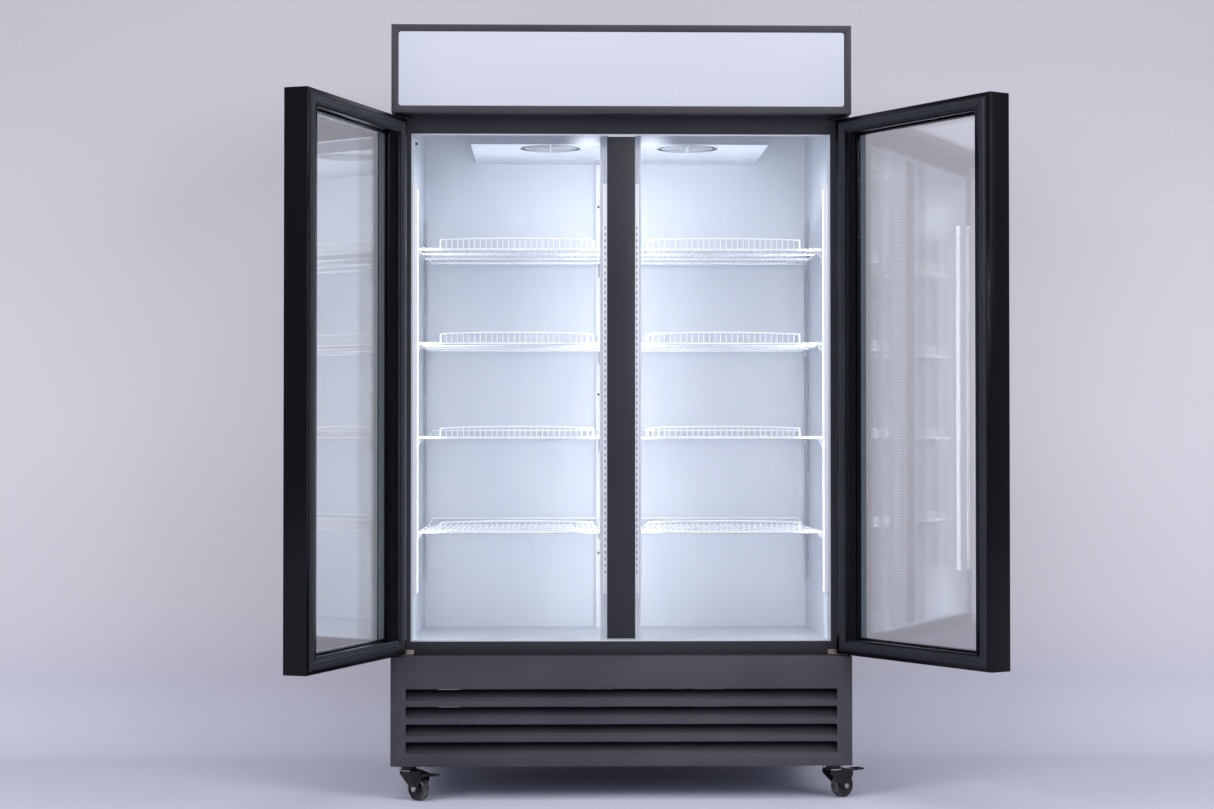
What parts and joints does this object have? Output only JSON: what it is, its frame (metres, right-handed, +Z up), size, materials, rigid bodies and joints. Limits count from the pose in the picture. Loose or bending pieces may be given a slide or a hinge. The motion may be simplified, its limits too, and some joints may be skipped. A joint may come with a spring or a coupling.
{
  "type": "glass door merchandiser",
  "caption": "Upright refrigerated display cabinet on swivel castors with swinging glass doors, wire shelves in each bay, a lit header sign and a louvred machinery base.",
  "frame": {"origin": "on the floor under the centre of the cabinet's footprint, doors not counted (mount floor_stand)", "axes": "+X to the right as seen from the front, the front faces -Y, +Z up"},
  "size_m": [1.7719, 1.2615, 2.0562],
  "materials": {
    "charcoal_paint": "powder coat, low sheen",
    "zinc_sheet": "galvanised sheet",
    "foam": "closed-cell foam, cut face",
    "white_liner": "white enamel",
    "black_paint": "satin black enamel",
    "white_plastic": "satin",
    "led_strip": "lit board",
    "white_steel": "white enamel",
    "zinc_bright": "bright zinc plate",
    "coated_wire": "white dipped coating",
    "coil_fins": "thin bright fins",
    "sign_acrylic": "opal acrylic, lit from behind",
    "compressor_enamel": "black enamel",
    "fan_plastic": "moulded",
    "grey_plastic": "moulded",
    "switch_red": "glossy",
    "castor_black": "black plate",
    "castor_tread": "grey tread",
    "door_black": "glossy black",
    "door_glass": "clear toughened",
    "spacer_alloy": "mill finish",
    "gasket_rubber": "soft extrusion"
  },
  "bodies": {
    "cabinet": {"air_duct_cover": "white_liner", "back_panel": "zinc_sheet", "base_tray": "zinc_sheet", "castor_plates": "zinc_bright", "compressor": "compressor_enamel", "condensate_pan": "fan_plastic", "condenser_coil": "coil_fins", "condenser_shroud": "zinc_sheet", "control_box": "grey_plastic", "cord_gland": "fan_plastic", "evaporator_coil": "coil_fins", "fasteners": "zinc_bright", "foam_insulation": "foam", "front_frame": "black_paint", "grille_louvres": "black_paint", "grille_panel": "charcoal_paint", "header_box": "charcoal_paint", "hinge_brackets": "zinc_bright", "inner_liner": "white_liner", "led_boards": "led_strip", "led_channels": "white_plastic", "mullion_cover": "black_paint", "mullion_post": "white_liner", "roof_panel": "zinc_sheet", "shelf_clips": "zinc_bright", "shelf_left_1": "coated_wire", "shelf_left_2": "coated_wire", "shelf_left_3": "coated_wire", "shelf_left_4": "coated_wire", "shelf_right_1": "coated_wire", "shelf_right_2": "coated_wire", "shelf_right_3": "coated_wire", "shelf_right_4": "coated_wire", "shelf_uprights": "white_steel", "side_panel_left": "charcoal_paint", "side_panel_right": "charcoal_paint", "sign_panel": "sign_acrylic"},
    "door_left": {"door_left_frame": "door_black", "door_left_glass": "door_glass", "door_left_spacer": "spacer_alloy", "door_left_gasket": "gasket_rubber"},
    "door_right": {"door_right_frame": "door_black", "door_right_glass": "door_glass", "door_right_spacer": "spacer_alloy", "door_right_gasket": "gasket_rubber"},
    "evaporator_fan_left": {"evaporator_fan_left": "fan_plastic"},
    "evaporator_fan_right": {"evaporator_fan_right": "fan_plastic"},
    "condenser_fan": {"condenser_fan": "fan_plastic"},
    "light_switch": {"light_switch": "switch_red"},
    "power_switch": {"power_switch": "switch_red"},
    "castor_fl": {"castor_fork_fl": "castor_black"},
    "wheel_fl": {"castor_wheel_fl": "castor_tread"},
    "pedal_fl": {"castor_pedal_fl": "castor_black"},
    "castor_fr": {"castor_fork_fr": "castor_black"},
    "wheel_fr": {"castor_wheel_fr": "castor_tread"},
    "pedal_fr": {"castor_pedal_fr": "castor_black"},
    "castor_rl": {"castor_fork_rl": "castor_black"},
    "wheel_rl": {"castor_wheel_rl": "castor_tread"},
    "castor_rr": {"castor_fork_rr": "castor_black"},
    "wheel_rr": {"castor_wheel_rr": "castor_tread"}
  },
  "joints": [
    {"name": "door_left_hinge", "type": "hinge", "parent": "cabinet", "child": "door_left", "pos_m": [-0.598, -0.324, 1.0955], "axis": [0, 0, -1], "range_deg": [-109.5, 15.5]},
    {"name": "door_right_hinge", "type": "hinge", "parent": "cabinet", "child": "door_right", "pos_m": [0.598, -0.324, 1.0955], "axis": [0, 0, 1], "range_deg": [-121.6, 3.4]},
    {"name": "evaporator_fan_left_spin", "type": "hinge", "parent": "cabinet", "child": "evaporator_fan_left", "pos_m": [-0.19, -0.056, 1.785], "axis": [0, 0, 1], "continuous": true},
    {"name": "evaporator_fan_right_spin", "type": "hinge", "parent": "cabinet", "child": "evaporator_fan_right", "pos_m": [0.19, -0.056, 1.785], "axis": [0, 0, 1], "continuous": true},
    {"name": "condenser_fan_spin", "type": "hinge", "parent": "cabinet", "child": "condenser_fan", "pos_m": [-0.26, -0.14, 0.2095], "axis": [0, 1, 0], "continuous": true},
    {"name": "light_switch_rock", "type": "hinge", "parent": "cabinet", "child": "light_switch", "pos_m": [0.608, -0.325, 1.9015], "axis": [0, -1, 0], "range_deg": [0, 14]},
    {"name": "power_switch_rock", "type": "hinge", "parent": "cabinet", "child": "power_switch", "pos_m": [0.608, -0.325, 1.862], "axis": [0, -1, 0], "range_deg": [0, 14]},
    {"name": "castor_fl_swivel", "type": "hinge", "parent": "cabinet", "child": "castor_fl", "pos_m": [-0.562, -0.307, 0.078], "axis": [0, 0, 1], "continuous": true},
    {"name": "wheel_fl_roll", "type": "hinge", "parent": "castor_fl", "child": "wheel_fl", "pos_m": [-0.53673, -0.32975, 0.031], "axis": [0.6691, 0.7431, 0], "continuous": true},
    {"name": "pedal_fl_press", "type": "hinge", "parent": "castor_fl", "child": "pedal_fl", "pos_m": [-0.52484, -0.34046, 0.066], "axis": [0.6691, 0.7431, 0], "range_deg": [0, 12]},
    {"name": "castor_fr_swivel", "type": "hinge", "parent": "cabinet", "child": "castor_fr", "pos_m": [0.562, -0.307, 0.078], "axis": [0, 0, 1], "continuous": true},
    {"name": "wheel_fr_roll", "type": "hinge", "parent": "castor_fr", "child": "wheel_fr", "pos_m": [0.59051, -0.28848, 0.031], "axis": [-0.5446, 0.8387, 0], "continuous": true},
    {"name": "pedal_fr_press", "type": "hinge", "parent": "castor_fr", "child": "pedal_fr", "pos_m": [0.60393, -0.27977, 0.066], "axis": [-0.5446, 0.8387, 0], "range_deg": [0, 12]},
    {"name": "castor_rl_swivel", "type": "hinge", "parent": "cabinet", "child": "castor_rl", "pos_m": [-0.562, 0.279, 0.078], "axis": [0, 0, 1], "continuous": true},
    {"name": "wheel_rl_roll", "type": "hinge", "parent": "castor_rl", "child": "wheel_rl", "pos_m": [-0.5532, 0.31184, 0.031], "axis": [-0.9659, 0.2588, 0], "continuous": true},
    {"name": "castor_rr_swivel", "type": "hinge", "parent": "cabinet", "child": "castor_rr", "pos_m": [0.562, 0.279, 0.078], "axis": [0, 0, 1], "continuous": true},
    {"name": "wheel_rr_roll", "type": "hinge", "parent": "castor_rr", "child": "wheel_rr", "pos_m": [0.55037, 0.31095, 0.031], "axis": [-0.9397, -0.342, 0], "continuous": true}
  ]
}
